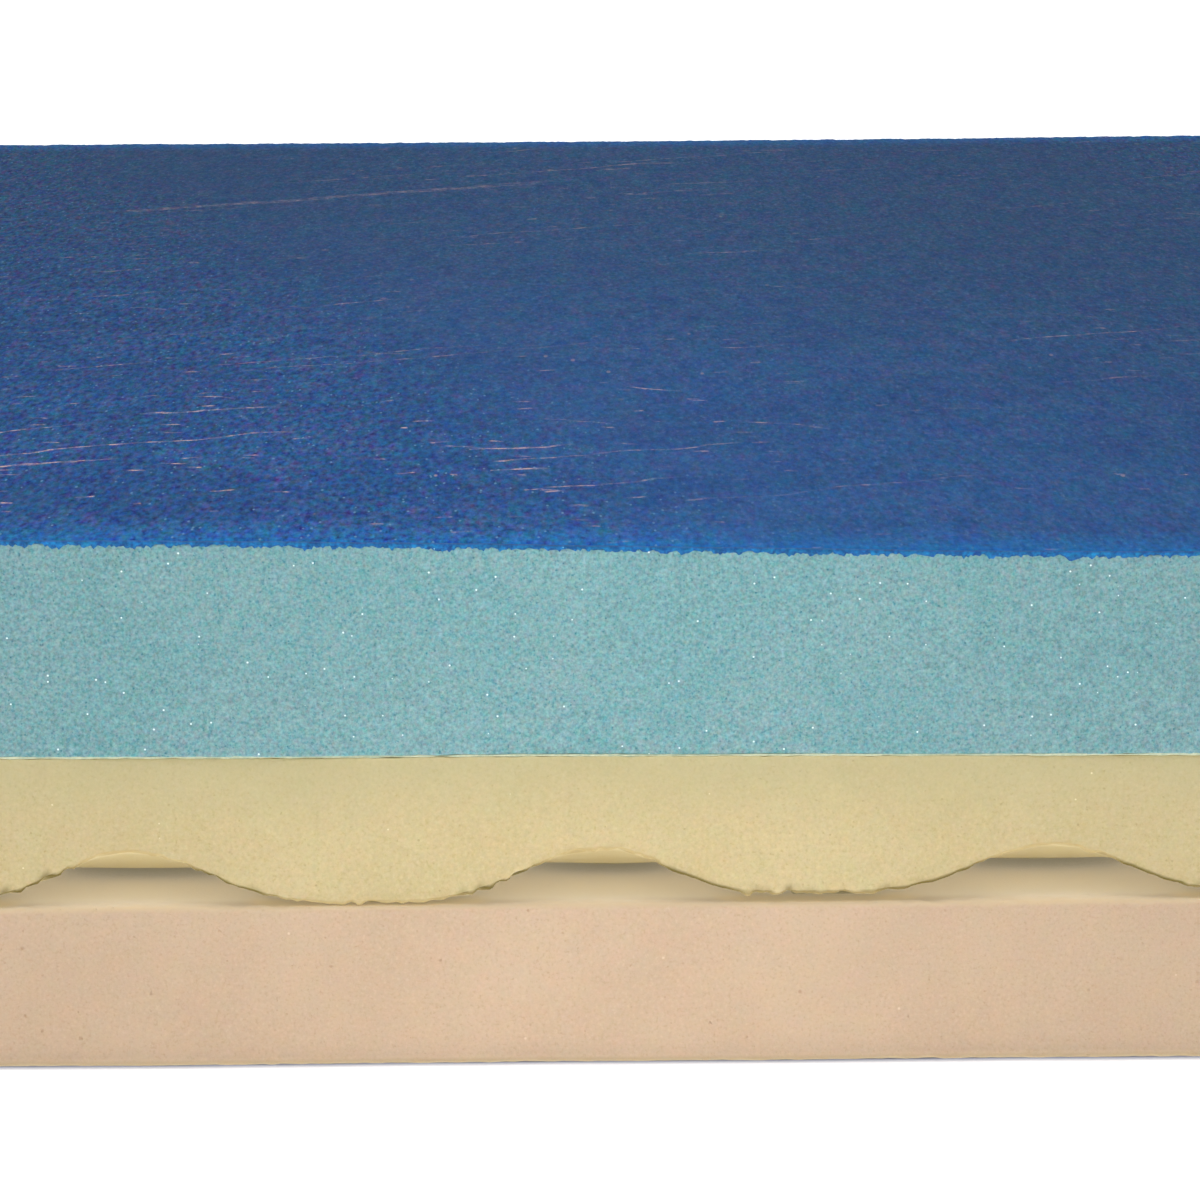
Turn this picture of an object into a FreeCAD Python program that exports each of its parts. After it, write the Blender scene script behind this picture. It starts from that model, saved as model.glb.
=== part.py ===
"""Uncovered core of a single-bed memory foam mattress, as a stack of bonded layers.

Millimetres, +Z up. The origin is the centre of the underside, X runs along the length and Y across the width.
From the floor up: base foam, glue dabs, convoluted foam, glue film, memory foam and gel coat.
The convoluted foam lies with its bumps down. Only the crests of the bumps touch the base, each on a dab of glue,
so air can move through the hollows between them, and the hollows open as arches along all four sides.
"""

import FreeCAD
import Part
import Sketcher

import math
import os

Vector = FreeCAD.Vector

# Driving dimensions in millimetres, under the aliases that their cells carry.
SIZES = {
    "core_length": 1900.0,
    "core_width": 900.0,
    "base_thickness": 39.6,
    "dab_thickness": 0.3,
    "dab_radius": 10.0,
    "convoluted_thickness": 36.1,
    "bump_height": 13.2,
    "bump_spacing": 56.25,
    "film_thickness": 0.4,
    "memory_thickness": 49.6,
    "coat_thickness": 1.0,
}

# The layers from the floor up, each with the alias of its thickness.
STACK = {
    "base_foam": "base_thickness",
    "crest_glue_dabs": "dab_thickness",
    "convoluted_foam": "convoluted_thickness",
    "glue_film": "film_thickness",
    "memory_foam": "memory_thickness",
    "gel_coat": "coat_thickness",
}

# The wave surface is a cubic B-spline with this many spans from a crest to the hollow beside it.
SPANS_PER_BUMP = 4
DEGREE = 3


def make_sizes(doc):
    """Spreadsheet of the driving dimensions: a name in column A, its value in column B."""
    sheet = doc.addObject("Spreadsheet::Sheet", "sizes")
    for row, (alias, value) in enumerate(SIZES.items(), start=1):
        sheet.set(f"A{row}", alias)
        sheet.set(f"B{row}", str(value))
        sheet.setAlias(f"B{row}", alias)
    doc.recompute()
    return sheet


def stand_in_stack(piece, node):
    """Label a layer and bind its height to the thicknesses of the layers below it."""
    piece.Label = node
    layers = list(STACK)
    below = [f"sizes.{STACK[layer]}" for layer in layers[:layers.index(node)]]
    if below:
        piece.setExpression(".Placement.Base.z", " + ".join(below))


def make_slab(doc, node):
    """A layer with flat faces: a rectangle centred on the origin, padded to the layer's thickness."""
    body = doc.addObject("PartDesign::Body", node)
    ground_plane = next(f for f in body.Origin.OriginFeatures if f.Role == "XY_Plane")
    outline = body.newObject("Sketcher::SketchObject", f"{node}_outline")
    outline.AttachmentSupport = [(ground_plane, "")]
    outline.MapMode = "FlatFace"

    corners = [Vector(-1, -1), Vector(1, -1), Vector(1, 1), Vector(-1, 1)]
    start, end, centre = 1, 2, (-1, 1)
    for side in range(4):
        outline.addGeometry(Part.LineSegment(corners[side], corners[(side + 1) % 4]), False)
    for side in range(4):
        outline.addConstraint(Sketcher.Constraint("Coincident", side, end, (side + 1) % 4, start))
        outline.addConstraint(Sketcher.Constraint("Vertical" if side % 2 else "Horizontal", side))
    outline.addConstraint(Sketcher.Constraint("Symmetric", 0, start, 1, end, *centre))
    length = outline.addConstraint(Sketcher.Constraint("DistanceX", 0, start, 0, end, 2.0))
    width = outline.addConstraint(Sketcher.Constraint("DistanceY", 1, start, 1, end, 2.0))
    outline.setExpression(f"Constraints[{length}]", "sizes.core_length")
    outline.setExpression(f"Constraints[{width}]", "sizes.core_width")

    pad = body.newObject("PartDesign::Pad", f"{node}_pad")
    pad.Profile = outline
    pad.setExpression("Length", f"sizes.{STACK[node]}")
    stand_in_stack(body, node)


def wave_pole(sizes, x, y):
    """Control point of the wave surface over the point x, y.

    The wave rises above the plane of its crests as bump_height * ((1 + cos(u) * cos(v)) / 2) ** 2. Its crests and
    hollows alternate like the squares of a chessboard, and a hollow is centred on the middle of each long side.
    The square makes the crests broad and the hollows narrow, and multiplied out it is a sum of plain cosines.
    A cubic spline flattens a cosine by (2 + cos(step)) / 3, so each one is raised by as much for the poles.
    """
    step = math.pi / SPANS_PER_BUMP
    raised = 3 / (2 + math.cos(step))
    raised_double = 3 / (2 + math.cos(2 * step))
    u = math.pi * x / sizes.bump_spacing
    v = math.pi * (y + sizes.core_width / 2) / sizes.bump_spacing
    cross = (raised * math.cos(u)) * (raised * math.cos(v))
    cross_squared = (1 + raised_double * math.cos(2 * u)) * (1 + raised_double * math.cos(2 * v)) / 4
    height = sizes.bump_height * (1 + 2 * cross + cross_squared) / 4
    return Vector(x, y, height)


def knot_line(size, spacing):
    """Knots of a centred spline that covers a size, with enough beyond its ends for whole spans there."""
    reach = math.ceil(size / 2 / spacing) + DEGREE
    return [i * spacing for i in range(-reach, reach + 1)]


def wave_surface(sizes):
    """The wavy underside as one B-spline surface, whose parameters are X and Y, trimmed to the core's outline."""
    spacing = sizes.bump_spacing / SPANS_PER_BUMP
    knots_x = knot_line(sizes.core_length, spacing)
    knots_y = knot_line(sizes.core_width, spacing)
    # A cubic spline's poles stand over its knots, without the two at each end.
    poles = [[wave_pole(sizes, x, y) for y in knots_y[2:-2]] for x in knots_x[2:-2]]
    surface = Part.BSplineSurface()
    surface.buildFromPolesMultsKnots(
        poles, [1] * len(knots_x), [1] * len(knots_y), knots_x, knots_y, False, False, DEGREE, DEGREE
    )
    half_length = sizes.core_length / 2
    half_width = sizes.core_width / 2
    surface.segment(-half_length, half_length, -half_width, half_width)
    return surface


def make_convoluted_foam(doc, sizes):
    """A slab whose underside is the wave: the wave face, four sides down to its edges, and a flat top."""
    wave = wave_surface(sizes).toShape()
    top_height = sizes.convoluted_thickness

    def above(point):
        return Vector(point.x, point.y, top_height)

    faces = [wave]
    for edge in wave.Edges:
        first, last = (vertex.Point for vertex in edge.Vertexes)
        uprights = [Part.makeLine(first, above(first)), Part.makeLine(last, above(last))]
        side = Part.Wire(Part.__sortEdges__([edge, *uprights, Part.makeLine(above(first), above(last))]))
        faces.append(Part.Face(side))
    half_length = sizes.core_length / 2
    half_width = sizes.core_width / 2
    lid_corner = Vector(-half_length, -half_width, top_height)
    faces.append(Part.makePlane(sizes.core_length, sizes.core_width, lid_corner))

    shell = Part.makeShell(faces)
    shell.sewShape()
    foam = Part.Solid(shell)
    if foam.Volume < 0:
        foam.reverse()
    piece = doc.addObject("Part::Feature", "convoluted_foam")
    piece.Shape = foam
    stand_in_stack(piece, "convoluted_foam")


def make_crest_glue_dabs(doc, sizes):
    """A flat disc of glue under each crest, cut off at the core's sides where a crest stands on the edge."""
    columns = int(sizes.core_length / 2 / sizes.bump_spacing)
    rows = round(sizes.core_width / sizes.bump_spacing)
    half_length = sizes.core_length / 2
    half_width = sizes.core_width / 2
    corner = Vector(-half_length, -half_width, 0)
    outline = Part.makeBox(sizes.core_length, sizes.core_width, sizes.dab_thickness, corner)

    dabs = []
    for column in range(-columns, columns + 1):
        for row in range(rows + 1):
            if (column + row) % 2 == 0:
                continue
            foot = Vector(column * sizes.bump_spacing, row * sizes.bump_spacing - half_width, 0)
            dab = Part.makeCylinder(sizes.dab_radius, sizes.dab_thickness, foot)
            stands_on_edge = row in (0, rows)
            dabs.append(dab.common(outline).Solids[0] if stands_on_edge else dab)
    piece = doc.addObject("Part::Feature", "crest_glue_dabs")
    piece.Shape = Part.makeCompound(dabs)
    stand_in_stack(piece, "crest_glue_dabs")


def check_document(doc):
    """Stop if any object failed to compute, or if a layer has no valid solid."""
    for item in doc.Objects:
        if {"Invalid", "Error"} & set(item.State):
            raise RuntimeError(f"{item.Name} failed: {item.State}")
    for node in STACK:
        shape = doc.getObject(node).Shape
        if shape.isNull() or not shape.isValid() or not shape.Solids:
            raise RuntimeError(f"{node} has no valid solid")


def main():
    doc = FreeCAD.newDocument("mattress_core")
    sizes = make_sizes(doc)
    for node in ("base_foam", "glue_film", "memory_foam", "gel_coat"):
        make_slab(doc, node)
    make_convoluted_foam(doc, sizes)
    make_crest_glue_dabs(doc, sizes)
    doc.recompute()
    check_document(doc)

    os.makedirs("parts", exist_ok=True)
    for node in STACK:
        shape = doc.getObject(node).Shape
        shape.exportStep(f"parts/{node}.step")
        box = shape.BoundBox
        litres = shape.Volume / 1e6
        print(f"{node}: {len(shape.Solids)} solid(s), {litres:.3f} l, z {box.ZMin:.2f} to {box.ZMax:.2f}")


main()
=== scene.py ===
"""Looks of the uncovered mattress core: layers of saw-cut foam, glue and gel on a pale studio floor.

Metres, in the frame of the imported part: X along the length, Y across the width, +Z up, and the origin under
the middle. Each layer is a closed mesh that takes its place from the CAD box of its node. Its cut sides are
finely divided, so their edges can be ragged, and its faces inside the stack are coarse. Materials are
worked out in millimetres.
"""

import math

import bpy
import numpy as np
from mathutils import Euler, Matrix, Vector


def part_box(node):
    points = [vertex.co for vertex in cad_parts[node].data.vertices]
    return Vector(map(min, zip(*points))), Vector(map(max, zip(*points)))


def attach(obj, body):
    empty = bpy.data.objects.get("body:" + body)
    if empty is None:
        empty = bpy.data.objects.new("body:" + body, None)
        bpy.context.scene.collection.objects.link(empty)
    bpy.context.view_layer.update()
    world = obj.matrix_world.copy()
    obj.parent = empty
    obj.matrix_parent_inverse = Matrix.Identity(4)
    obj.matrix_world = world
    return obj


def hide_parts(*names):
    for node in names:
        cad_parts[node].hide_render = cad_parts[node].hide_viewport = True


TAU = 2 * math.pi
MM = 0.001

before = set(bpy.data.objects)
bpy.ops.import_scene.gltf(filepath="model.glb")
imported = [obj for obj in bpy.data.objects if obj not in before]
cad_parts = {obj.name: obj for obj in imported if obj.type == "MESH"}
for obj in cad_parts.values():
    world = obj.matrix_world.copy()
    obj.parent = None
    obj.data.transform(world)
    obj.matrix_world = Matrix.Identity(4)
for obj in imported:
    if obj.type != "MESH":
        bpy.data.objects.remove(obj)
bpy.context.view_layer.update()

BOX = {node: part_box(node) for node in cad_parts}
HALF_X, HALF_Y, TOP_Z = BOX["gel_coat"][1]
CREST_Z = BOX["crest_glue_dabs"][1].z
SEAM_Z = BOX["convoluted_foam"][1].z

# The wave: crests and hollows alternate at this spacing both ways, and a hollow is this deep.
BUMP_SPACING = 56.25 * MM
BUMP_HEIGHT = 13.2 * MM

# How far a face that is out of sight is kept from the sides, and how coarse its grid is.
GRID_MARGIN = 4 * MM
THIN_GRID_MARGIN = 6 * MM
COARSE_CELL = 25 * MM
MIDDLE_CELL = 12.5 * MM
FINE_CELL = 10 * MM


# ---------------------------------------------------------------- uneven surfaces

def ripple(seed, amplitude, longest, shortest, waves=12):
    """A smooth uneven field in space: sine waves with random directions, phases and lengths, added up."""
    rng = np.random.default_rng(seed)
    lengths = longest * (shortest / longest) ** rng.random(waves)
    ways = rng.normal(size=(waves, 3))
    ways /= np.linalg.norm(ways, axis=1)[:, None]
    phases = rng.random(waves) * TAU
    shares = np.sqrt(lengths)
    shares *= amplitude / math.sqrt((shares ** 2).sum() / 2)

    def field(x, y, z=0.0):
        total = np.zeros(np.shape(x))
        for length, way, phase, share in zip(lengths, ways, phases, shares):
            total = total + share * np.sin(TAU * (way[0] * x + way[1] * y + way[2] * z) / length + phase)
        return total

    return field


def ragged(count, seed, reach):
    """Random values round a closed loop, smoothed over some neighbours each way, with a spread of 1."""
    values = np.random.default_rng(seed).normal(size=count)
    smooth = np.zeros(count)
    for step in range(-reach, reach + 1):
        smooth += (reach + 1 - abs(step)) * np.roll(values, step)
    return smooth / smooth.std()


# The front of the top stands up by the first of these, in millimetres, give or take the second, in waves as
# long as the third, in metres. The glue line follows it by a share.
FRONT_RISE, FRONT_WAVE, WAVE_LENGTH = 1.35, 2.9, 0.9
SEAM_SHARE = 0.25


def settle(x, y):
    """How far the top lies above its nominal height. The back hardly leaves it."""
    towards_front = 0.5 - y / (2 * HALF_Y)
    front = (FRONT_RISE - FRONT_WAVE * np.sin(TAU * x / WAVE_LENGTH)) * MM
    return front * towards_front + BROAD_SAG(x, y)


def seam_rise(x, y):
    """How far the glue line lies above its nominal height."""
    return SEAM_SHARE * settle(x, y) + SEAM_WANDER(x, y)


BROAD_SAG = ripple(11, 0.35 * MM, 0.9, 0.35)
SEAM_WANDER = ripple(12, 0.12 * MM, 0.25, 0.06)
CREST_WANDER = ripple(13, 0.4 * MM, 0.09, 0.035)
CUT_WANDER = {
    node: ripple(20 + i, 0.28 * MM, 0.16, 0.03)
    for i, node in enumerate(("base_foam", "convoluted_foam", "memory_foam"))
}
# The layers were laid by hand, so each one stands a little out of line with the others.
LAYER_SHIFT = {
    "base_foam": (0.3 * MM, -0.4 * MM),
    "convoluted_foam": (-0.4 * MM, 0.1 * MM),
    "memory_foam": (0.2 * MM, -0.2 * MM),
}


# ---------------------------------------------------------------- the wave-cut underside

# Crests and hollows of the front row that stand off the even pattern, by their number from the middle:
# how far each is shifted along X, and how far its crest stands clear of the base, in millimetres.
FRONT_ROW = {
    -2: (-2.4, 0.2),
    -1: (0.2, 0.0),
    0: (0.0, 0.7),
    1: (-4.3, 1.75),
    2: (-3.6, 1.2),
    3: (-1.0, 0.3),
}
# How much of a front crest's clearance the crest behind it has.
CLEAR_BEHIND = 0.3
# The other cells' spread along X and Y, and the spread of their clearance, in millimetres.
CELL_SPREAD, CLEAR_SPREAD = 1.1, 0.35
# The row behind each long side was cut this much nearer to it than the even pattern has it.
NEXT_ROW_NEARER = 8.5 * MM
# Further in than this, the crests stand this much off the base, with CREST_WANDER on top.
UNEVEN_FROM, UNEVEN_MEAN = 20 * MM, 0.4 * MM


def pattern_tables():
    """Shift along X and Y and clearance of each crest and hollow, by column and row of the wave."""
    columns = int(HALF_X / BUMP_SPACING) + 2
    rows = round(2 * HALF_Y / BUMP_SPACING) + 1
    rng = np.random.default_rng(31)
    shift = rng.normal(0, CELL_SPREAD, (2 * columns + 1, rows)) * MM
    clear = np.abs(rng.normal(0, CLEAR_SPREAD, (2 * columns + 1, rows))) * MM
    across = rng.normal(0, CELL_SPREAD, (2 * columns + 1, rows)) * MM
    across[:, 1] -= NEXT_ROW_NEARER
    across[:, -2] += NEXT_ROW_NEARER
    across[:, (0, -1)] = 0
    for column, (along, above) in FRONT_ROW.items():
        shift[column + columns, :2] = along * MM
        clear[column + columns, 0] = above * MM
        clear[column + columns, 1] = CLEAR_BEHIND * above * MM
    return columns, rows, shift, across, clear


COLUMNS, ROWS, SHIFT, ACROSS, CLEAR = pattern_tables()


def between_cells(table, x, y):
    """A table's value at a point, eased from each crest or hollow to the next."""
    u = np.clip(x / BUMP_SPACING + COLUMNS, 0, 2 * COLUMNS - 1e-6)
    v = np.clip((y + HALF_Y) / BUMP_SPACING, 0, ROWS - 1 - 1e-6)
    i, j = u.astype(int), v.astype(int)
    s, t = u - i, v - j
    s, t = s * s * (3 - 2 * s), t * t * (3 - 2 * t)
    low = table[i, j] * (1 - s) + table[i + 1, j] * s
    high = table[i, j + 1] * (1 - s) + table[i + 1, j + 1] * s
    return low * (1 - t) + high * t


def wave_underside(x, y):
    """Height of the convoluted foam's underside: broad crests down, narrow hollows between them."""
    along = x - between_cells(SHIFT, x, y)
    inwards = y + HALF_Y - between_cells(ACROSS, x, y)
    hollow = (1 + np.cos(math.pi * along / BUMP_SPACING) * np.cos(math.pi * inwards / BUMP_SPACING)) / 2
    clear = between_cells(CLEAR, x, y)
    # Behind the cut sides the crests are uneven, so they don't all meet the base in a straight line.
    inside = np.clip((HALF_Y - np.abs(y)) / UNEVEN_FROM, 0, 1) * (1 - hollow)
    uneven = np.maximum(UNEVEN_MEAN + CREST_WANDER(x, y), 0)
    return CREST_Z + clear + inside * uneven + (BUMP_HEIGHT - clear) * hollow ** 2


# ---------------------------------------------------------------- meshes

def outline(spacing, corner):
    """Points round the core's outline, anticlockwise from the -X -Y corner.

    Gives each point, its outward normal, and its place as a side's number plus the share of that side.
    """
    places, points = [], []
    corners = np.array([(-HALF_X, -HALF_Y), (HALF_X, -HALF_Y), (HALF_X, HALF_Y), (-HALF_X, HALF_Y)])
    for side in range(4):
        start, end = corners[side], corners[(side + 1) % 4]
        count = round(np.linalg.norm(end - start) / spacing)
        share = np.arange(count) / count
        places.append(side + share)
        points.append(start + share[:, None] * (end - start))
    points = np.concatenate(points)
    inner = np.array([HALF_X, HALF_Y]) - corner
    nearest = np.clip(points, -inner, inner)
    normals = points - nearest
    normals /= np.linalg.norm(normals, axis=1)[:, None]
    return nearest + corner * normals, normals, np.concatenate(places)


class Layer:
    """A closed mesh built up from loops round the core and from grids that close it below and above."""

    def __init__(self, spacing, corner=1.2 * MM):
        self.points, self.normals, self.places = outline(spacing, corner)
        self.vertices, self.faces, self.loops = [], [], []
        self.total = 0

    @property
    def count(self):
        return len(self.points)

    def add(self, x, y, z):
        first = self.total
        self.vertices.append(np.stack([x, y, z], axis=-1).reshape(-1, 3))
        self.total += len(self.vertices[-1])
        return np.arange(first, self.total)

    def place(self, out):
        """X and Y of the outline's points, moved outwards."""
        moved = self.points + self.normals * np.reshape(out, (-1, 1))
        return moved[:, 0], moved[:, 1]

    def loop(self, out, z):
        """One more loop, joined to the one before it. Loops go from the underside up to the top."""
        x, y = self.place(out)
        ids = self.add(x, y, z)
        if self.loops:
            low = self.loops[-1]
            self.faces += zip(low, np.roll(low, -1), np.roll(ids, -1), ids)
        self.loops.append(ids)

    def close(self, ids, height, cell, margin, facing_up):
        """Close a loop with a grid of cells whose height is a function of x and y."""
        nx = round(2 * (HALF_X - margin) / cell)
        ny = round(2 * (HALF_Y - margin) / cell)
        x = np.linspace(margin - HALF_X, HALF_X - margin, nx + 1)
        y = np.linspace(margin - HALF_Y, HALF_Y - margin, ny + 1)
        x, y = np.meshgrid(x, y, indexing="ij")
        grid = self.add(x, y, height(x, y)).reshape(nx + 1, ny + 1)
        quads = [grid[:-1, :-1], grid[1:, :-1], grid[1:, 1:], grid[:-1, 1:]]
        faces = list(zip(*(q.ravel() for q in quads)))
        edge = np.concatenate([grid[:-1, 0], grid[-1, :-1], grid[:0:-1, -1], grid[0, :0:-1]])
        side_places = [k + np.arange(n) / n for k, n in enumerate((nx, ny, nx, ny))]
        faces += self.zip_loops(ids, self.places, edge, np.concatenate(side_places))
        self.faces += faces if facing_up else [face[::-1] for face in faces]

    def zip_loops(self, outer, outer_places, inner, inner_places):
        """Triangles between a fine outer loop and a coarse inner one, both anticlockwise."""
        faces = []
        outer, inner = list(outer) + [outer[0]], list(inner) + [inner[0]]
        outer_places, inner_places = list(outer_places) + [4.0], list(inner_places) + [4.0]
        i = j = 0
        while i < len(outer) - 1 or j < len(inner) - 1:
            outer_next = outer_places[i + 1] if i < len(outer) - 1 else 5.0
            inner_next = inner_places[j + 1] if j < len(inner) - 1 else 5.0
            if outer_next <= inner_next:
                faces.append((outer[i], outer[i + 1], inner[j]))
                i += 1
            else:
                faces.append((outer[i], inner[j + 1], inner[j]))
                j += 1
        return faces

    def build(self, name, materials, sharp=math.radians(50)):
        mesh = bpy.data.meshes.new(name)
        faces = [[int(vertex) for vertex in face] for face in self.faces]
        mesh.from_pydata(np.concatenate(self.vertices).tolist(), [], faces)
        mesh.shade_smooth()
        mesh.set_sharp_from_angle(angle=sharp)
        for material in materials:
            mesh.materials.append(material)
        piece = bpy.data.objects.new(name, mesh)
        bpy.context.scene.collection.objects.link(piece)
        return piece


def finish_piece(piece, node):
    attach(piece, "root")
    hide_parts(node)


ROUND_UNDER, ROUND_TOP = (90, 60, 30, 0), (0, 30, 60, 90)
PLAIN_UNDER, PLAIN_TOP = (90, 0), (0, 90)


def foam_slab(node, name, material, under, top, seed, spacing, cells, wall_shares, worn, rough, turns):
    """A saw-cut foam layer between two height fields, with rounded and ragged edges.

    cells, worn, rough and turns each hold a value for the underside and one for the top: how coarse its
    grid is, how far its edge is rounded off, how ragged the edge is, and the angles of the loops round it.
    """
    layer = Layer(spacing)
    x, y = layer.place(0.0)
    low, high = under(x, y), top(x, y)
    shift_x, shift_y = LAYER_SHIFT[node]
    shifted = layer.normals @ np.array([shift_x, shift_y])
    fuzz = [ragged(layer.count, seed + i, 1) for i in range(4)]
    patchy = np.clip(0.9 + 0.5 * ragged(layer.count, seed + 4, 12), 0.2, 2.0)

    def wall(z):
        return shifted + CUT_WANDER[node](x, y, z)

    def edge(end, z, facing, fuzz_out, fuzz_in):
        """Loops on a quarter round at one end of the wall. A turn of 0 is on the wall, 90 on the face."""
        radius = worn[end]
        for turn in np.radians(turns[end]):
            loose = rough[end] * patchy * math.sin(turn)
            inwards = radius * (1 - math.cos(turn))
            inside = radius * (1 - math.sin(turn)) + loose * (0.5 + fuzz_in)
            layer.loop(wall(z) - inwards + 0.5 * loose * fuzz_out, z - facing * inside)

    edge(0, low, -1, fuzz[0], fuzz[1])
    low_z, high_z = low + 3 * worn[0], high - 3 * worn[1]
    for share in (0.0, *wall_shares, 1.0):
        z = low_z + share * (high_z - low_z)
        layer.loop(wall(z), z)
    edge(1, high, 1, fuzz[2], fuzz[3])
    layer.close(layer.loops[0], under, cells[0], GRID_MARGIN, facing_up=False)
    layer.close(layer.loops[-1], top, cells[1], GRID_MARGIN, facing_up=True)
    piece = layer.build(name, [material])
    finish_piece(piece, node)


def level(z):
    return lambda x, y: np.full(np.shape(x), float(z))


def seam_height(x, y):
    return SEAM_Z + seam_rise(x, y)


def memory_top(x, y):
    return BOX["memory_foam"][1].z + settle(x, y)


def film_top(x, y):
    return BOX["glue_film"][1].z + seam_rise(x, y)


def make_glue_film(material):
    """The dried glue between two layers. Its edge was cut with the foam and stands uneven in the seam."""
    layer = Layer(spacing=0.75 * MM)
    x, y = layer.place(0.0)
    uneven = 0.12 * MM * ragged(layer.count, 41, 2)
    lips = 0.05 * MM * ragged(layer.count, 42, 3)
    out = CUT_WANDER["memory_foam"](x, y, SEAM_Z) * 0.5 + uneven
    tucked_in, proud = 0.5 * MM, 0.05 * MM
    low, high = seam_height(x, y), film_top(x, y)
    layer.loop(out - tucked_in, low)
    layer.loop(out + proud, low - lips)
    layer.loop(out + proud, high + lips)
    layer.loop(out - tucked_in, high)
    layer.close(layer.loops[0], seam_height, COARSE_CELL, THIN_GRID_MARGIN, facing_up=False)
    layer.close(layer.loops[-1], film_top, COARSE_CELL, THIN_GRID_MARGIN, facing_up=True)
    piece = layer.build("foam_glue_film", [material])
    finish_piece(piece, "glue_film")


# The fringe of the gel down the side, in millimetres: its mean depth, its least and most, and its teeth,
# each kind with a size, a seed, and how many neighbours it is smoothed over.
FRINGE_DEPTH, FRINGE_LIMITS = 0.62, (0.06, 2.0)
FRINGE_TEETH = ((0.22, 58, 0), (0.28, 51, 1), (0.2, 52, 3), (0.1, 56, 20))


def make_gel_coat(top_material, edge_material):
    """The rolled-on gel. At the sides it wraps over the memory foam's edge and ends in a ragged fringe."""
    layer = Layer(spacing=0.55 * MM)
    x, y = layer.place(0.0)
    foam_top = memory_top(x, y)
    thickness = BOX["gel_coat"][1].z - BOX["gel_coat"][0].z
    shift_x, shift_y = LAYER_SHIFT["memory_foam"]
    face = layer.normals @ np.array([shift_x, shift_y]) + CUT_WANDER["memory_foam"](x, y, foam_top)
    teeth = sum(size * ragged(layer.count, seed, reach) for size, seed, reach in FRINGE_TEETH)
    drop = MM * np.clip(FRINGE_DEPTH + teeth, *FRINGE_LIMITS)
    proud = 0.1 * MM + 0.05 * MM * ragged(layer.count, 53, 2)
    lip = MM * (0.25 * ragged(layer.count, 54, 1) + 0.3 * ragged(layer.count, 57, 6))

    layer.loop(face - 1.0 * MM, foam_top)
    layer.loop(face - 0.05 * MM, foam_top - drop)
    layer.loop(face + proud, foam_top - 0.6 * drop)
    layer.loop(face + proud + 0.05 * MM, foam_top + 0.3 * thickness)
    layer.loop(face + proud - 0.25 * MM, foam_top + 0.8 * thickness + 0.12 * lip)
    edge_faces = len(layer.faces)
    layer.loop(face - 1.0 * MM + 0.8 * lip, foam_top + thickness + 0.12 * lip)
    layer.loop(face - 3.0 * MM, foam_top + thickness)
    skin = ripple(55, 0.05 * MM, 0.06, 0.02, waves=20)

    def coat_top(x, y):
        return memory_top(x, y) + thickness + skin(x, y)

    layer.close(layer.loops[0], memory_top, COARSE_CELL, THIN_GRID_MARGIN, facing_up=False)
    layer.close(layer.loops[-1], coat_top, FINE_CELL, THIN_GRID_MARGIN, facing_up=True)
    piece = layer.build("gel_coated_top", [top_material, edge_material])
    indices = np.zeros(len(piece.data.polygons), dtype=np.int32)
    indices[:edge_faces] = 1
    piece.data.polygons.foreach_set("material_index", indices)
    finish_piece(piece, "gel_coat")


def make_glue_dabs(material):
    """A flattened, uneven dab of glue under each crest, pressed into both foams."""
    rng = np.random.default_rng(61)
    low, high = BOX["crest_glue_dabs"][0].z, CREST_Z
    # The rings of a dab, as a share of its radius and a height. The outer two are pressed into the foams.
    rings = ((0.9, low - 0.1 * MM), (1.0, (low + high) / 2), (0.85, high + 0.1 * MM))
    inside = np.array([HALF_X, HALF_Y]) - 8 * MM
    spokes = 18
    angles = np.arange(spokes) * TAU / spokes
    round_points = np.stack([np.cos(angles), np.sin(angles)], axis=1)
    vertices, faces = [], []
    columns = int(HALF_X / BUMP_SPACING)
    for column in range(-columns, columns + 1):
        for row in range(ROWS):
            if (column + row) % 2 == 0:
                continue
            mean_radius = rng.uniform(7, 10) * MM
            lumps = np.convolve(rng.normal(size=spokes), [0.5, 1, 0.5], "same")
            radius = mean_radius * (1 + 0.12 * lumps)
            middle = np.array([column * BUMP_SPACING, row * BUMP_SPACING - HALF_Y])
            middle = np.clip(middle, 3 * MM - inside, inside - 3 * MM)
            ring = np.clip(middle + radius[:, None] * round_points, -inside, inside)
            first = len(vertices)
            for share, z in rings:
                vertices += [(*(middle + share * (point - middle)), z) for point in ring]
            vertices += [(*middle, low - 0.1 * MM), (*middle, high + 0.12 * MM)]
            for k in range(spokes):
                after = (k + 1) % spokes
                for lower in (first, first + spokes):
                    upper = lower + spokes
                    faces.append((lower + k, lower + after, upper + after, upper + k))
                faces.append((first + after, first + k, first + 3 * spokes))
                faces.append((first + 2 * spokes + k, first + 2 * spokes + after, first + 3 * spokes + 1))
    mesh = bpy.data.meshes.new("crest_glue")
    mesh.from_pydata(vertices, [], faces)
    mesh.shade_smooth()
    mesh.materials.append(material)
    piece = bpy.data.objects.new("crest_glue", mesh)
    bpy.context.scene.collection.objects.link(piece)
    finish_piece(piece, "crest_glue_dabs")


# ---------------------------------------------------------------- materials

# Lengths in millimetres of the two waves of painted light along the core, lightest at its middle.
LONG_LIGHT_WAVE, SHORT_LIGHT_WAVE = 420, 310


def srgb(red, green, blue):
    """A colour given as 8-bit screen values, as the linear values that shaders take."""
    shares = [c / 255 for c in (red, green, blue)]
    linear = [c / 12.92 if c <= 0.04045 else ((c + 0.055) / 1.055) ** 2.4 for c in shares]
    return (*linear, 1.0)


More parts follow.
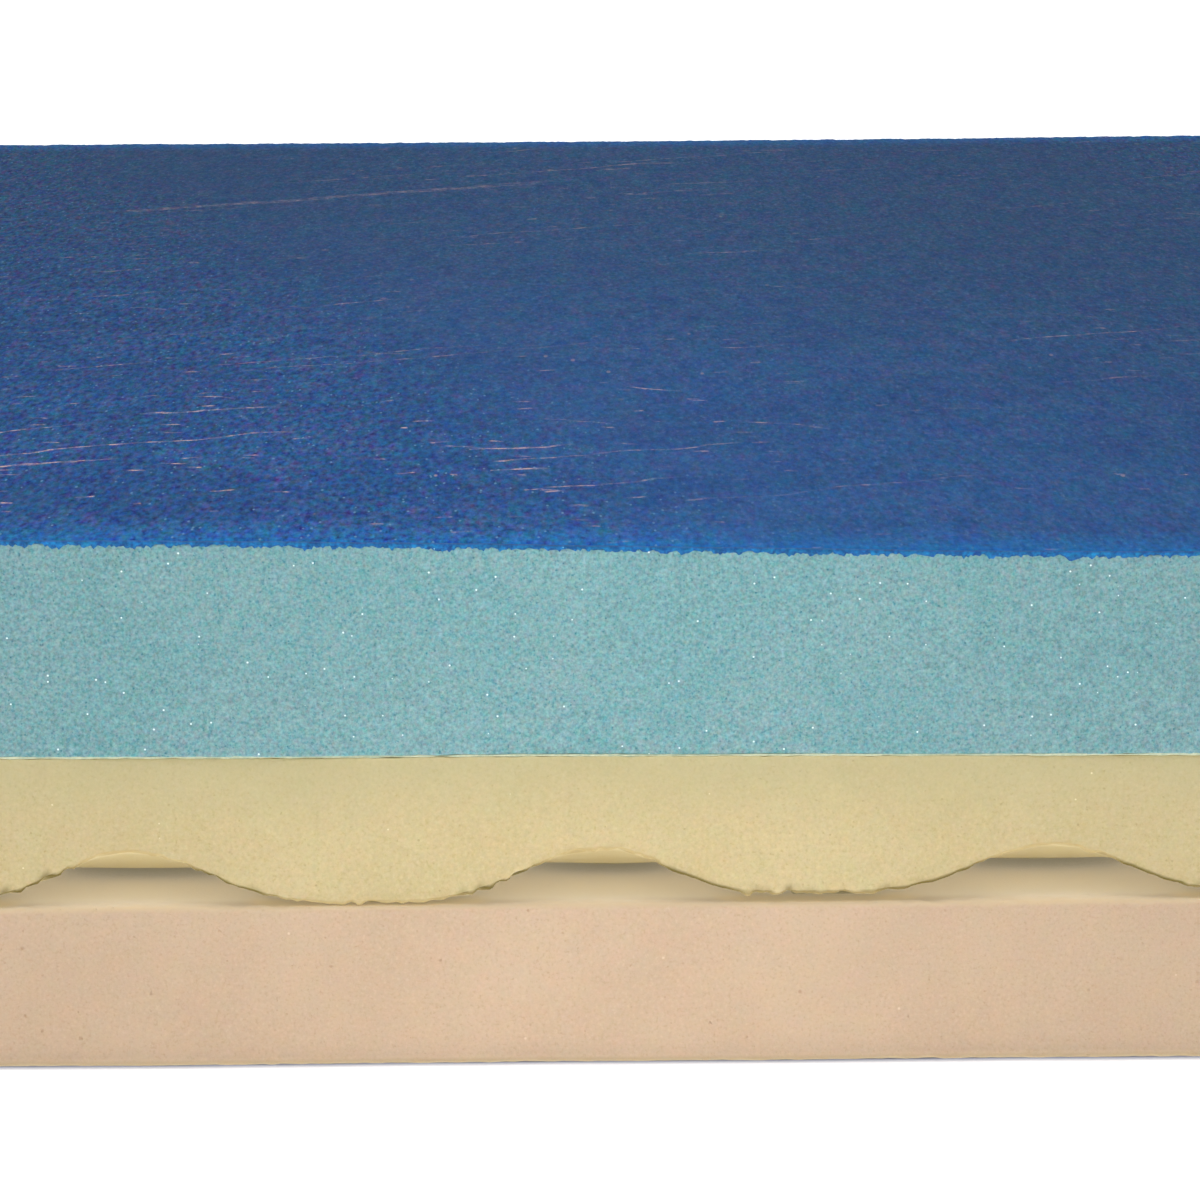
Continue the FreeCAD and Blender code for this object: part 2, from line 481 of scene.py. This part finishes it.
class Shader:
    """A node material with one Principled shader. Patterns are functions of the place in millimetres."""

    def __init__(self, name, roughness, specular, glow_depth=0.0):
        self.material = bpy.data.materials.new(name)
        self.material.use_nodes = True
        self.nodes = self.material.node_tree.nodes
        self.links = self.material.node_tree.links
        self.surface = self.nodes["Principled BSDF"]
        self.set(self.surface, "Roughness", roughness)
        self.set(self.surface, "Specular IOR Level", specular)
        if glow_depth:
            self.set(self.surface, "Subsurface Weight", 0.85)
            self.set(self.surface, "Subsurface Radius", (1.0, 0.9, 0.75))
            self.set(self.surface, "Subsurface Scale", glow_depth * MM)
        place = self.nodes.new("ShaderNodeTexCoord").outputs["Object"]
        self.mm = self.vector("MULTIPLY", place, (1000, 1000, 1000))

    def set(self, node, name, value):
        socket = node.inputs[name]
        if isinstance(value, bpy.types.NodeSocket):
            self.links.new(value, socket)
        else:
            socket.default_value = value

    def vector(self, operation, first, second):
        node = self.nodes.new("ShaderNodeVectorMath")
        node.operation = operation
        self.set(node, 0, first)
        self.set(node, 1, second)
        return node.outputs["Value" if operation in ("DOT_PRODUCT", "LENGTH") else "Vector"]

    def math(self, operation, first, second=0.0):
        node = self.nodes.new("ShaderNodeMath")
        node.operation = operation
        self.set(node, 0, first)
        self.set(node, 1, second)
        return node.outputs[0]

    def noise(self, size, detail=2.0, roughness=0.5, place=None):
        """Noise from 0 to 1 whose lumps are about this many millimetres apart."""
        node = self.nodes.new("ShaderNodeTexNoise")
        self.set(node, "Vector", place or self.mm)
        self.set(node, "Scale", 1 / size)
        self.set(node, "Detail", detail)
        self.set(node, "Roughness", roughness)
        return node.outputs["Fac"]

    def colour_noise(self, size, place=None):
        """Three noises at once, as a vector whose parts run from 0 to 1."""
        node = self.nodes.new("ShaderNodeTexNoise")
        self.set(node, "Vector", place or self.mm)
        self.set(node, "Scale", 1 / size)
        return node.outputs["Color"]

    def cells(self, size, place=None, flat=False):
        """Voronoi cells about this many millimetres across: the whole node, for its several outputs."""
        node = self.nodes.new("ShaderNodeTexVoronoi")
        node.voronoi_dimensions = "2D" if flat else "3D"
        self.set(node, "Vector", place or self.mm)
        self.set(node, "Scale", 1 / size)
        return node

    def range(self, value, low, high, start=0.0, end=1.0, smooth=True):
        """A value from low to high, turned into start to end and held there outside."""
        node = self.nodes.new("ShaderNodeMapRange")
        node.interpolation_type = "SMOOTHSTEP" if smooth else "LINEAR"
        self.set(node, "Value", value)
        for name, number in (("From Min", low), ("From Max", high), ("To Min", start), ("To Max", end)):
            self.set(node, name, number)
        return node.outputs["Result"]

    def mix(self, share, first, second):
        """A mix of two colours."""
        node = self.nodes.new("ShaderNodeMix")
        node.data_type = "RGBA"
        self.set(node, 0, share)
        self.set(node, 6, first)
        self.set(node, 7, second)
        return node.outputs[2]

    def axis(self, name):
        node = self.nodes.new("ShaderNodeSeparateXYZ")
        self.set(node, 0, self.mm)
        return node.outputs[name]

    def facing(self, name):
        """A part of the surface's own normal, from -1 to 1."""
        node = self.nodes.new("ShaderNodeSeparateXYZ")
        self.set(node, 0, self.nodes.new("ShaderNodeTexCoord").outputs["Normal"])
        return node.outputs[name]

    def from_sides(self):
        """How many millimetres a place lies in from the nearest side of the core."""
        from_end = self.math("SUBTRACT", HALF_X / MM, self.math("ABSOLUTE", self.axis("X")))
        from_long_side = self.math("SUBTRACT", HALF_Y / MM, self.math("ABSOLUTE", self.axis("Y")))
        return self.math("MINIMUM", from_end, from_long_side)

    def light_falloff_bands(self, colour, strength):
        """Painted light: a colour made lighter and darker in broad waves along the core, lightest at its
        middle.
        """
        along = self.axis("X")
        long_wave = self.math("COSINE", self.math("MULTIPLY", along, TAU / LONG_LIGHT_WAVE))
        short_wave = self.math("COSINE", self.math("MULTIPLY", along, TAU / SHORT_LIGHT_WAVE))
        factor = self.math("MULTIPLY", self.math("ADD", long_wave, short_wave), strength / 2)
        return self.vector("MULTIPLY", colour, self.vector("ADD", (1 - strength / 2,) * 3, factor))

    def spots(self, cell, radius, share, place=None, soft=0.6):
        """Scattered round spots, in a share of the cells: 0 outside a spot and 1 in it."""
        cells = self.cells(cell, place=place)
        chosen = self.math("LESS_THAN", self.one_channel(cells.outputs["Color"]), share)
        near = self.range(cells.outputs["Distance"], soft * radius / cell, radius / cell, 1.0, 0.0)
        return self.math("MULTIPLY", chosen, near)

    def one_channel(self, colour):
        node = self.nodes.new("ShaderNodeSeparateColor")
        self.set(node, 0, colour)
        return node.outputs[0]

    def grain(self, colour, size, value_gain, hue_gain, place=None, detail=2.0):
        """A colour made lighter and darker, with its hue shifted, in lumps of about this size."""
        value = self.math("SUBTRACT", self.noise(size, detail=detail, roughness=0.7, place=place), 0.5)
        value = self.math("ADD", self.math("MULTIPLY", value, value_gain), 1.0)
        hue = self.vector("SUBTRACT", self.colour_noise(1.4 * size, place), (0.5, 0.5, 0.5))
        factor = self.vector("ADD", self.vector("MULTIPLY", hue, hue_gain), value)
        return self.vector("MULTIPLY", colour, self.vector("MAXIMUM", factor, (0.0, 0.0, 0.0)))

    def crevice(self, reach):
        """How shut in a place is by what lies within these millimetres: 0 in the open and 1 in a crack."""
        node = self.nodes.new("ShaderNodeAmbientOcclusion")
        node.samples = 8
        self.set(node, "Distance", reach * MM)
        return self.math("SUBTRACT", 1.0, node.outputs["AO"])

    def bump(self, height, depth, under=None):
        """A normal for a height from 0 to 1 that stands this many millimetres deep."""
        node = self.nodes.new("ShaderNodeBump")
        self.set(node, "Height", height)
        self.set(node, "Distance", depth * MM)
        if under:
            self.set(node, "Normal", under)
        return node.outputs["Normal"]


def foam_look(shader, pale, body, deep, pore, cell, pore_share, pore_strength, grain, relief):
    """Open-cell foam, as cut: a body colour in soft clouds, a mottle of cut cells, and a few open pores.

    It gives a colour and a normal.
    """
    clouds = shader.noise(32, detail=3, roughness=0.55)
    mottle = shader.noise(1.3 * cell, detail=3, roughness=0.7)
    cells = shader.cells(cell)
    opened = shader.range(shader.one_channel(cells.outputs["Color"]), 1 - pore_share, 1.0)
    hollow = shader.range(cells.outputs["Distance"], 0.05, 0.5, 1.0, 0.0)
    pores = shader.math("MULTIPLY", hollow, opened)
    pores = shader.math("MULTIPLY", pores, shader.range(mottle, 0.6, 0.35))

    colour = shader.mix(shader.range(clouds, 0.3, 0.7, 0.0, 0.5), body, pale)
    colour = shader.mix(shader.range(mottle, 0.52, 0.72, 0.0, 0.9), colour, pale)
    colour = shader.mix(shader.range(mottle, 0.48, 0.3, 0.0, 0.8), colour, deep)
    colour = shader.grain(colour, 1.1 * cell, grain[0], grain[1])
    colour = shader.grain(colour, 5.0 * cell, 0.2 * grain[0], (0.1, 0.05, 0.1))
    colour = shader.mix(shader.math("MULTIPLY", pores, pore_strength), colour, pore)
    # Painted light, lightest at the middle of the core.
    colour = shader.light_falloff_bands(colour, 0.06)
    height = shader.math("SUBTRACT", mottle, shader.math("MULTIPLY", pores, 0.8))
    return colour, shader.bump(height, relief)


def memory_foam_material():
    """Light aqua foam with fine teal pores and a few painted glints, near-white, where cell skins would catch
    the light.
    """
    shader = Shader("memory_foam", roughness=0.85, specular=0.2, glow_depth=0.8)
    colour, normal = foam_look(
        shader, pale=srgb(139, 170, 173), body=srgb(123, 165, 169), deep=srgb(97, 151, 160),
        pore=srgb(40, 116, 138), cell=0.72, pore_share=0.65, pore_strength=0.9,
        grain=(1.15, (1.1, 0.3, 0.3)), relief=0.28,
    )
    specks = shader.math("MULTIPLY", shader.spots(2.7, 0.34, 0.2), 0.55)
    colour = shader.mix(specks, colour, srgb(58, 132, 152))
    # Painted glints: small near-white spots, also made glossier.
    painted_glints = shader.math("MULTIPLY", shader.spots(2.3, 0.3, 0.22), 0.95)
    colour = shader.mix(painted_glints, colour, srgb(232, 248, 250))
    shader.set(shader.surface, "Base Color", colour)
    shader.set(shader.surface, "Roughness", shader.range(painted_glints, 0.0, 1.0, 0.85, 0.4))
    shader.set(shader.surface, "Normal", normal)
    return shader.material


def convoluted_foam_material():
    """Pale straw foam with faint pores and brown flecks, greener towards the glue line.

    Where the wave's cut edge and underside face down, they carry painted light and shade: an olive edge,
    darkest on the flanks of the arches, and a tint of their own further in. It is also painted darker in
    crevices.
    """
    shader = Shader("convoluted_foam", roughness=0.92, specular=0.1, glow_depth=1.0)
    colour, normal = foam_look(
        shader, pale=srgb(204, 190, 151), body=srgb(198, 182, 141), deep=srgb(190, 174, 129),
        pore=srgb(178, 158, 108), cell=0.8, pore_share=0.5, pore_strength=0.35,
        grain=(0.28, (0.1, 0.08, 0.14)), relief=0.14,
    )
    height = shader.axis("Z")
    drift = shader.range(shader.noise(30), 0.0, 1.0, -5.0, 5.0, smooth=False)
    drift = shader.math("ADD", height, drift)
    near_seam = shader.range(drift, SEAM_Z / MM - 22, SEAM_Z / MM + 4)
    colour = shader.mix(shader.math("MULTIPLY", near_seam, 0.6), colour, srgb(180, 174, 136))
    flecks = shader.spots(5.0, 0.38, 0.12)
    colour = shader.mix(shader.math("MULTIPLY", flecks, 0.4), colour, srgb(150, 128, 84))
    # Painted glints: small pale spots.
    painted_glints = shader.spots(3.7, 0.3, 0.06)
    colour = shader.mix(shader.math("MULTIPLY", painted_glints, 0.5), colour, srgb(246, 238, 204))
    # Painted shade on surfaces that face down: an olive edge near the sides, darkest on the flanks of the
    # arches, and a tint of their own further in.
    above_crest = shader.math("SUBTRACT", shader.axis("Z"), CREST_Z / MM)
    off_crest = shader.range(above_crest, 0.5, 4.0)
    below_apex = shader.range(above_crest, 8, 12, 1.0, 0.0)
    flank_shade = shader.math("MULTIPLY", off_crest, below_apex)
    edge = shader.mix(flank_shade, srgb(180, 160, 114), srgb(96, 84, 34))
    underside = shader.mix(shader.range(shader.from_sides(), 1.6, 5.0), edge, srgb(214, 199, 152))
    under = shader.range(shader.facing("Z"), -0.05, -0.6)
    colour = shader.mix(shader.math("MULTIPLY", under, 0.9), colour, underside)
    # Painted shade in crevices, towards olive.
    shade = shader.range(shader.crevice(5.0), 0.3, 0.95, 0.0, 0.75)
    shader.set(shader.surface, "Base Color", shader.mix(shade, colour, srgb(104, 98, 48)))
    shader.set(shader.surface, "Normal", normal)
    return shader.material


def base_foam_material():
    """Beige-peach foam, dense and fine, with scattered small brown pits and paler specks.

    Its up-facing top carries painted light: a paler tint of its own, palest further in from the sides. Its
    bottom edge is painted darker, as painted shade along the floor.
    """
    shader = Shader("base_foam", roughness=0.92, specular=0.1, glow_depth=1.2)
    colour, normal = foam_look(
        shader, pale=srgb(205, 183, 158), body=srgb(198, 174, 150), deep=srgb(191, 166, 139),
        pore=srgb(182, 150, 120), cell=0.75, pore_share=0.4, pore_strength=0.3,
        grain=(0.15, (0.07, 0.06, 0.09)), relief=0.1,
    )
    wobble = shader.vector("MULTIPLY", shader.colour_noise(1.6), (1.3, 1.3, 1.3))
    wobble = shader.vector("ADD", shader.mm, wobble)
    pits = shader.spots(4.4, 0.6, 0.16, place=wobble, soft=0.2)
    colour = shader.mix(shader.math("MULTIPLY", pits, 0.35), colour, srgb(166, 128, 98))
    specks = shader.spots(4.8, 0.4, 0.1)
    colour = shader.mix(shader.math("MULTIPLY", specks, 0.4), colour, srgb(240, 224, 200))
    # Painted shade: darker within the lowest 1.6 mm, along the floor.
    painted_bottom_shade = shader.range(shader.axis("Z"), 0.1, 1.6, 0.8, 0.0)
    colour = shader.mix(painted_bottom_shade, colour, srgb(150, 130, 110))
    # Painted light: surfaces that face up get a paler tint of their own, palest further in from the sides.
    painted_top_light = shader.math("MULTIPLY", shader.range(shader.facing("Z"), 0.1, 0.85), 0.95)
    inner = shader.range(shader.from_sides(), 0.0, 8.0)
    painted_top_tint = shader.mix(inner, srgb(204, 184, 154), srgb(236, 226, 208))
    colour = shader.mix(painted_top_light, colour, painted_top_tint)
    # Painted light: paler where the gap is low and open to the side, as light comes through the foam above,
    # and not further in.
    shut_in = shader.crevice(5.0)
    painted_through_light = shader.math("MULTIPLY", shader.range(shut_in, 0.25, 0.7, 0.0, 0.85),
                              shader.range(shader.from_sides(), 3.0, 14.0, 1.0, 0.0))
    colour = shader.mix(painted_through_light, colour, srgb(250, 226, 180))
    # Painted shade: darker olive where the gap is shut in, further in from the sides.
    shade = shader.math("MULTIPLY", shader.range(shut_in, 0.76, 1.0, 0.0, 0.6),
                        shader.range(shader.from_sides(), 4.0, 18.0))
    shader.set(shader.surface, "Base Color", shader.mix(shade, colour, srgb(148, 132, 62)))
    normal = shader.bump(shader.math("MULTIPLY", pits, -1.0), 0.2, under=normal)
    shader.set(shader.surface, "Normal", normal)
    return shader.material


def foam_glue_material():
    """Dried spray glue: pale, slightly glossy and stringy."""
    shader = Shader("foam_glue", roughness=0.5, specular=0.4)
    strings = shader.noise(1.4, detail=3, roughness=0.65)
    colour = shader.mix(shader.range(strings, 0.35, 0.65), srgb(172, 186, 160), srgb(198, 202, 172))
    dusty = shader.range(shader.axis("Z"), CREST_Z / MM + 5, CREST_Z / MM + 15, 0.9, 0.0)
    colour = shader.mix(dusty, colour, srgb(186, 172, 134))
    shader.set(shader.surface, "Base Color", colour)
    shader.set(shader.surface, "Roughness", shader.range(strings, 0.3, 0.7, 0.65, 0.4))
    shader.set(shader.surface, "Normal", shader.bump(strings, 0.1))
    return shader.material


def scratches(shader, angle, cell, half_length, half_width, share, offset):
    """Thin broken scratches, each inside one long cell, at about this angle to X.

    Gives 1 on a scratch and 0 off it. The offset moves the pattern, so that no two lots are alike.
    """
    turn = shader.nodes.new("ShaderNodeVectorRotate")
    turn.rotation_type = "Z_AXIS"
    sway = shader.vector("SUBTRACT", shader.colour_noise(22.0), (0.5, 0.5, 0.5))
    sway = shader.vector("MULTIPLY", sway, (0, 14, 0))
    swayed = shader.vector("ADD", shader.mm, sway)
    shader.set(turn, "Vector", shader.vector("ADD", swayed, (offset, 2 * offset, 0)))
    shader.set(turn, "Angle", angle)
    scaled = shader.vector("DIVIDE", turn.outputs[0], (*cell, 1000.0))
    cells = shader.cells(1.0, place=scaled, flat=True)
    away = shader.vector("SUBTRACT", scaled, cells.outputs["Position"])
    away = shader.vector("MULTIPLY", away, (*cell, 0.0))
    split = shader.nodes.new("ShaderNodeSeparateXYZ")
    shader.set(split, 0, away)
    along = shader.math("ABSOLUTE", split.outputs["X"])
    across = shader.math("ABSOLUTE", split.outputs["Y"])
    luck = shader.one_channel(cells.outputs["Color"])
    chosen = shader.math("LESS_THAN", luck, share)
    reach = shader.math("MULTIPLY", shader.math("ADD", luck, 0.4 * share), half_length / (1.4 * share))
    ends = shader.range(shader.math("DIVIDE", along, reach), 0.5, 1.0, 1.0, 0.0)
    line = shader.range(across, 0.3 * half_width, half_width, 1.0, 0.0)
    broken = shader.range(shader.noise(4.2, detail=3, roughness=0.7), 0.46, 0.64, 0.14, 1.0)
    mask = shader.math("MULTIPLY", shader.math("MULTIPLY", chosen, ends), line)
    return shader.math("MULTIPLY", mask, broken)


# Lots of scratches: the angle to X, the size of a cell, half a scratch's greatest length, half its width,
# the share of the cells that have one, and the pattern's offset. In radians and millimetres.
SCRATCHES = (
    (-0.50, (170.0, 42.0), 78.0, 1.0, 0.50, 13.0),
    (-0.34, (66.0, 34.0), 24.0, 1.3, 0.35, 47.0),
    (0.45, (52.0, 40.0), 15.0, 1.0, 0.22, 91.0),
    (-0.20, (17.0, 15.0), 3.6, 1.2, 0.42, 29.0),
)
# The broad faint marks that dragging leaves, in the same terms, and how strong they are.
DRAG_MARKS = (-0.52, (290.0, 170.0), 130.0, 5.0, 0.5, 201.0)
DRAG_STRENGTH = 0.3
# Most of the wear is in one place, where the core was dragged and leant on.
WORN_CENTRE, WORN_RADII = (-110.0, -340.0, TOP_Z / MM), (150.0, 170.0, 100.0)
# How far in from the sides the gel's thick and clear edge reaches, and how wide its bands of grain are.
THICK_EDGE = 26.0
GRAIN_BAND = 620


def gel_top_material():
    """Dark blue satin gel with an orange-peel skin, fine mottling, and pale scuffs and scratches in it."""
    shader = Shader("gel_top", roughness=0.6, specular=0.12)
    # The roller that lays the gel draws its skin out across the core.
    drawn = shader.vector("MULTIPLY", shader.mm, (1.0, 0.28, 1.0))
    patches = shader.noise(70, detail=3, roughness=0.5)
    mottle = shader.noise(1.5, detail=3, roughness=0.7, place=drawn)
    cells = shader.cells(1.6, place=drawn)
    peel = shader.range(cells.outputs["Distance"], 0.1, 0.75)

    # Painted sheen: the gel is painted greyer from one corner of the core to the other, greyest towards the
    # back and the +X end.
    across = shader.vector("DOT_PRODUCT", shader.mm, (0.6, 0.8, 0.0))
    painted_sheen = shader.range(across, -420, 240)
    colour = shader.mix(shader.range(patches, 0.35, 0.65), srgb(22, 67, 121), srgb(30, 74, 128))
    colour = shader.mix(painted_sheen, colour, srgb(32, 67, 108))
    inwards = shader.from_sides()
    broken_up = shader.range(shader.noise(3.0, detail=3, roughness=0.7), 0.25, 0.75, -7.0, 7.0)
    from_edge = shader.math("ADD", inwards, broken_up)
    thick = shader.range(from_edge, 0.0, THICK_EDGE, 0.7, 0.0, smooth=False)
    colour = shader.mix(thick, colour, srgb(4, 94, 160))
    # Its grain is coarse in some broad bands and fine in others.
    band = shader.vector("DOT_PRODUCT", shader.mm, (TAU / GRAIN_BAND, 0.25 * TAU / GRAIN_BAND, 0.0))
    coarse = shader.range(shader.math("COSINE", shader.math("ADD", band, 2.1)), -0.3, 0.9)
    fine_grain = shader.grain(colour, 1.25, 1.5, (4.6, 0.9, 0.2), place=drawn, detail=3)
    coarse_grain = shader.grain(colour, 1.35, 2.8, (10.0, 2.2, 0.3), place=drawn, detail=3)
    colour = shader.mix(coarse, fine_grain, coarse_grain)
    colour = shader.grain(colour, 4.5, 0.45, (3.0, 0.7, 0.2), place=drawn)
    lit = shader.spots(1.9, 0.42, 0.3, place=drawn)
    lit = shader.math("MULTIPLY", lit, shader.range(coarse, 0.0, 1.0, 0.2, 0.6))
    colour = shader.mix(lit, colour, srgb(98, 138, 172))
    colour = shader.mix(shader.range(mottle, 0.6, 0.78, 0.0, 0.5), colour, srgb(84, 118, 160))
    # Painted light, lightest at the middle of the core.
    colour = shader.light_falloff_bands(colour, 0.05)

    marks = shader.math("MULTIPLY", shader.spots(9.0, 0.8, 0.4, place=drawn), 0.5)
    for lot in SCRATCHES:
        marks = shader.math("MAXIMUM", marks, scratches(shader, *lot))
    off_spot = shader.vector("SUBTRACT", shader.mm, WORN_CENTRE)
    off_spot = shader.vector("DIVIDE", off_spot, WORN_RADII)
    off_spot = shader.vector("LENGTH", off_spot, (0.0, 0.0, 0.0))
    worn_spot = shader.range(off_spot, 0.3, 1.3, 0.85, 0.0)
    elsewhere = shader.range(shader.noise(90, detail=2), 0.42, 0.66, 0.05, 0.5)
    marks = shader.math("MULTIPLY", marks, shader.math("MAXIMUM", worn_spot, elsewhere))
    drags = shader.math("MULTIPLY", scratches(shader, *DRAG_MARKS), DRAG_STRENGTH)
    marks = shader.math("MAXIMUM", marks, drags)
    colour = shader.mix(marks, colour, srgb(200, 164, 160))
    height = shader.math("ADD", shader.math("MULTIPLY", peel, 0.6), shader.math("MULTIPLY", mottle, 0.8))
    shader.set(shader.surface, "Base Color", colour)
    shader.set(shader.surface, "Roughness", shader.range(mottle, 0.3, 0.7, 0.7, 0.5))
    shader.set(shader.surface, "Normal", shader.bump(height, 0.2))
    return shader.material


def gel_edge_material():
    """The cut edge of the gel: a clearer, brighter blue, painted light where light gets into it, and darker
    where it faces up, with a few painted glints.
    """
    shader = Shader("gel_edge", roughness=0.5, specular=0.3)
    mottle = shader.noise(1.5, detail=3, roughness=0.7)
    colour = shader.mix(shader.range(mottle, 0.35, 0.65), srgb(6, 72, 130), srgb(14, 112, 172))
    # Painted light: the parts that face up are painted darker, like the top.
    colour = shader.mix(shader.range(shader.facing("Z"), 0.1, 0.8, 0.0, 0.8), colour, srgb(24, 72, 126))
    colour = shader.grain(colour, 1.6, 1.4, (0.8, 0.8, 0.3))
    # Painted glints: small pale blue spots.
    painted_glints = shader.spots(2.2, 0.25, 0.08)
    colour = shader.mix(painted_glints, colour, srgb(170, 226, 246))
    shader.set(shader.surface, "Base Color", colour)
    shader.set(shader.surface, "Normal", shader.bump(mottle, 0.15))
    return shader.material


def floor_material():
    """A white light table: it glows, so that it stays white, and where the core shuts it in it is painted
    grey-blue and glows less, as a painted contact shadow.
    """
    shader = Shader("studio_floor", roughness=0.8, specular=0.1)
    dust = shader.noise(300, detail=2)
    # Painted contact shadow where the core shuts the floor in.
    shut_in = shader.range(shader.crevice(7.0), 0.05, 0.5)
    pale = shader.mix(dust, srgb(228, 228, 228), srgb(232, 232, 232))
    shader.set(shader.surface, "Base Color", shader.mix(shut_in, pale, srgb(150, 154, 172)))
    shader.set(shader.surface, "Emission Color", (1, 1, 1, 1))
    shader.set(shader.surface, "Emission Strength", shader.range(shut_in, 0.0, 1.0, 0.45, 0.0))
    return shader.material


# ---------------------------------------------------------------- studio

def make_floor():
    reach = 12.0
    mesh = bpy.data.meshes.new("studio_floor")
    corners = [(-reach, -reach, 0), (reach, -reach, 0), (reach, reach, 0), (-reach, reach, 0)]
    mesh.from_pydata(corners, [], [(0, 1, 2, 3)])
    mesh.materials.append(floor_material())
    floor = bpy.data.objects.new("studio_floor", mesh)
    bpy.context.scene.collection.objects.link(floor)


# The tent's light comes as beams from these heights: a name, degrees above the floor and strength.
BEAMS = (("upper", 60, 0.66), ("lower", -15, 1.0))
TENT_STRENGTH = 0.3


def make_light():
    """A white tent with a soft panel in front and above: even light all round, and more from the front.

    The beams cast no shadows, because real foam lets such light through to the hollows under it.
    """
    world = bpy.data.worlds.new("studio")
    world.use_nodes = True
    world.node_tree.nodes["Background"].inputs["Color"].default_value = (1, 1, 1, 1)
    world.node_tree.nodes["Background"].inputs["Strength"].default_value = TENT_STRENGTH
    bpy.context.scene.world = world

    for name, elevation, strength in BEAMS:
        for azimuth in (0, 90, 180, 270):
            beam = bpy.data.lights.new(f"{name}_beam_{azimuth}", "SUN")
            beam.energy = strength
            beam.angle = math.radians(60)
            beam.use_shadow = False
            lamp = add_lamp(beam, (0, 0, 1))
            lamp.rotation_euler = (math.radians(90 - elevation), 0, math.radians(azimuth))
            lamp.visible_glossy = False

    panel = bpy.data.lights.new("front_panel", "AREA")
    panel.shape = "RECTANGLE"
    panel.size, panel.size_y = 0.9, 0.6
    panel.spread = math.radians(70)
    panel.energy = 0.9
    aim_at(add_lamp(panel, (-0.1, -0.75, 1.25)), Vector((0, -HALF_Y, TOP_Z)))
    bpy.context.scene.view_settings.view_transform = "Standard"


def add_lamp(light, location):
    lamp = bpy.data.objects.new(light.name, light)
    lamp.location = location
    bpy.context.scene.collection.objects.link(lamp)
    return lamp


def aim_at(thing, target, roll=0.0):
    """Point a lamp or camera at a place, with its top upwards."""
    turn = (target - thing.location).to_track_quat("-Z", "Y")
    thing.rotation_euler = (turn @ Euler((0, 0, roll)).to_quaternion()).to_euler()


def make_camera():
    """Close to one long side and looking down a little, so that only the middle of the core is in view."""
    pitch = math.radians(11.5)
    roll = math.radians(-0.48)
    distance = 1.2
    data = bpy.data.cameras.new("camera")
    data.sensor_width = 36
    data.lens = 150.3
    data.clip_end = 100
    camera = bpy.data.objects.new("camera", data)
    forward = Vector((0, math.cos(pitch), -math.sin(pitch)))
    up = Vector((0, math.sin(pitch), math.cos(pitch)))
    near_edge = Vector((0, -HALF_Y, TOP_Z))
    edge_above_centre = 11.7 * MM
    aim = near_edge - up * edge_above_centre
    camera.location = aim - forward * distance
    aim_at(camera, aim, roll)
    bpy.context.scene.collection.objects.link(camera)
    bpy.context.scene.camera = camera


# ---------------------------------------------------------------- the whole core

def main():
    make_camera()
    make_light()
    make_floor()
    glue = foam_glue_material()
    foam_slab(
        "base_foam", "base_foam_layer", base_foam_material(), level(0), level(BOX["base_foam"][1].z),
        seed=71, spacing=1.0 * MM, cells=(COARSE_CELL, MIDDLE_CELL), wall_shares=(0.33, 0.66),
        worn=(0.4 * MM, 1.5 * MM), rough=(0.05 * MM, 0.06 * MM), turns=(ROUND_UNDER, ROUND_TOP),
    )
    foam_slab(
        "convoluted_foam", "wave_cut_foam_layer", convoluted_foam_material(), wave_underside, seam_height,
        seed=81, spacing=0.82 * MM, cells=(BUMP_SPACING / 8, COARSE_CELL), wall_shares=(0.5,),
        worn=(1.3 * MM, 0.3 * MM), rough=(0.3 * MM, 0.05 * MM), turns=(ROUND_UNDER, PLAIN_TOP),
    )
    foam_slab(
        "memory_foam", "memory_foam_layer", memory_foam_material(), film_top, memory_top,
        seed=91, spacing=0.75 * MM, cells=(COARSE_CELL, MIDDLE_CELL), wall_shares=(0.25, 0.5, 0.75),
        worn=(0.3 * MM, 0.4 * MM), rough=(0.07 * MM, 0.07 * MM), turns=(PLAIN_UNDER, ROUND_TOP),
    )
    make_glue_film(glue)
    make_glue_dabs(glue)
    make_gel_coat(gel_top_material(), gel_edge_material())


main()
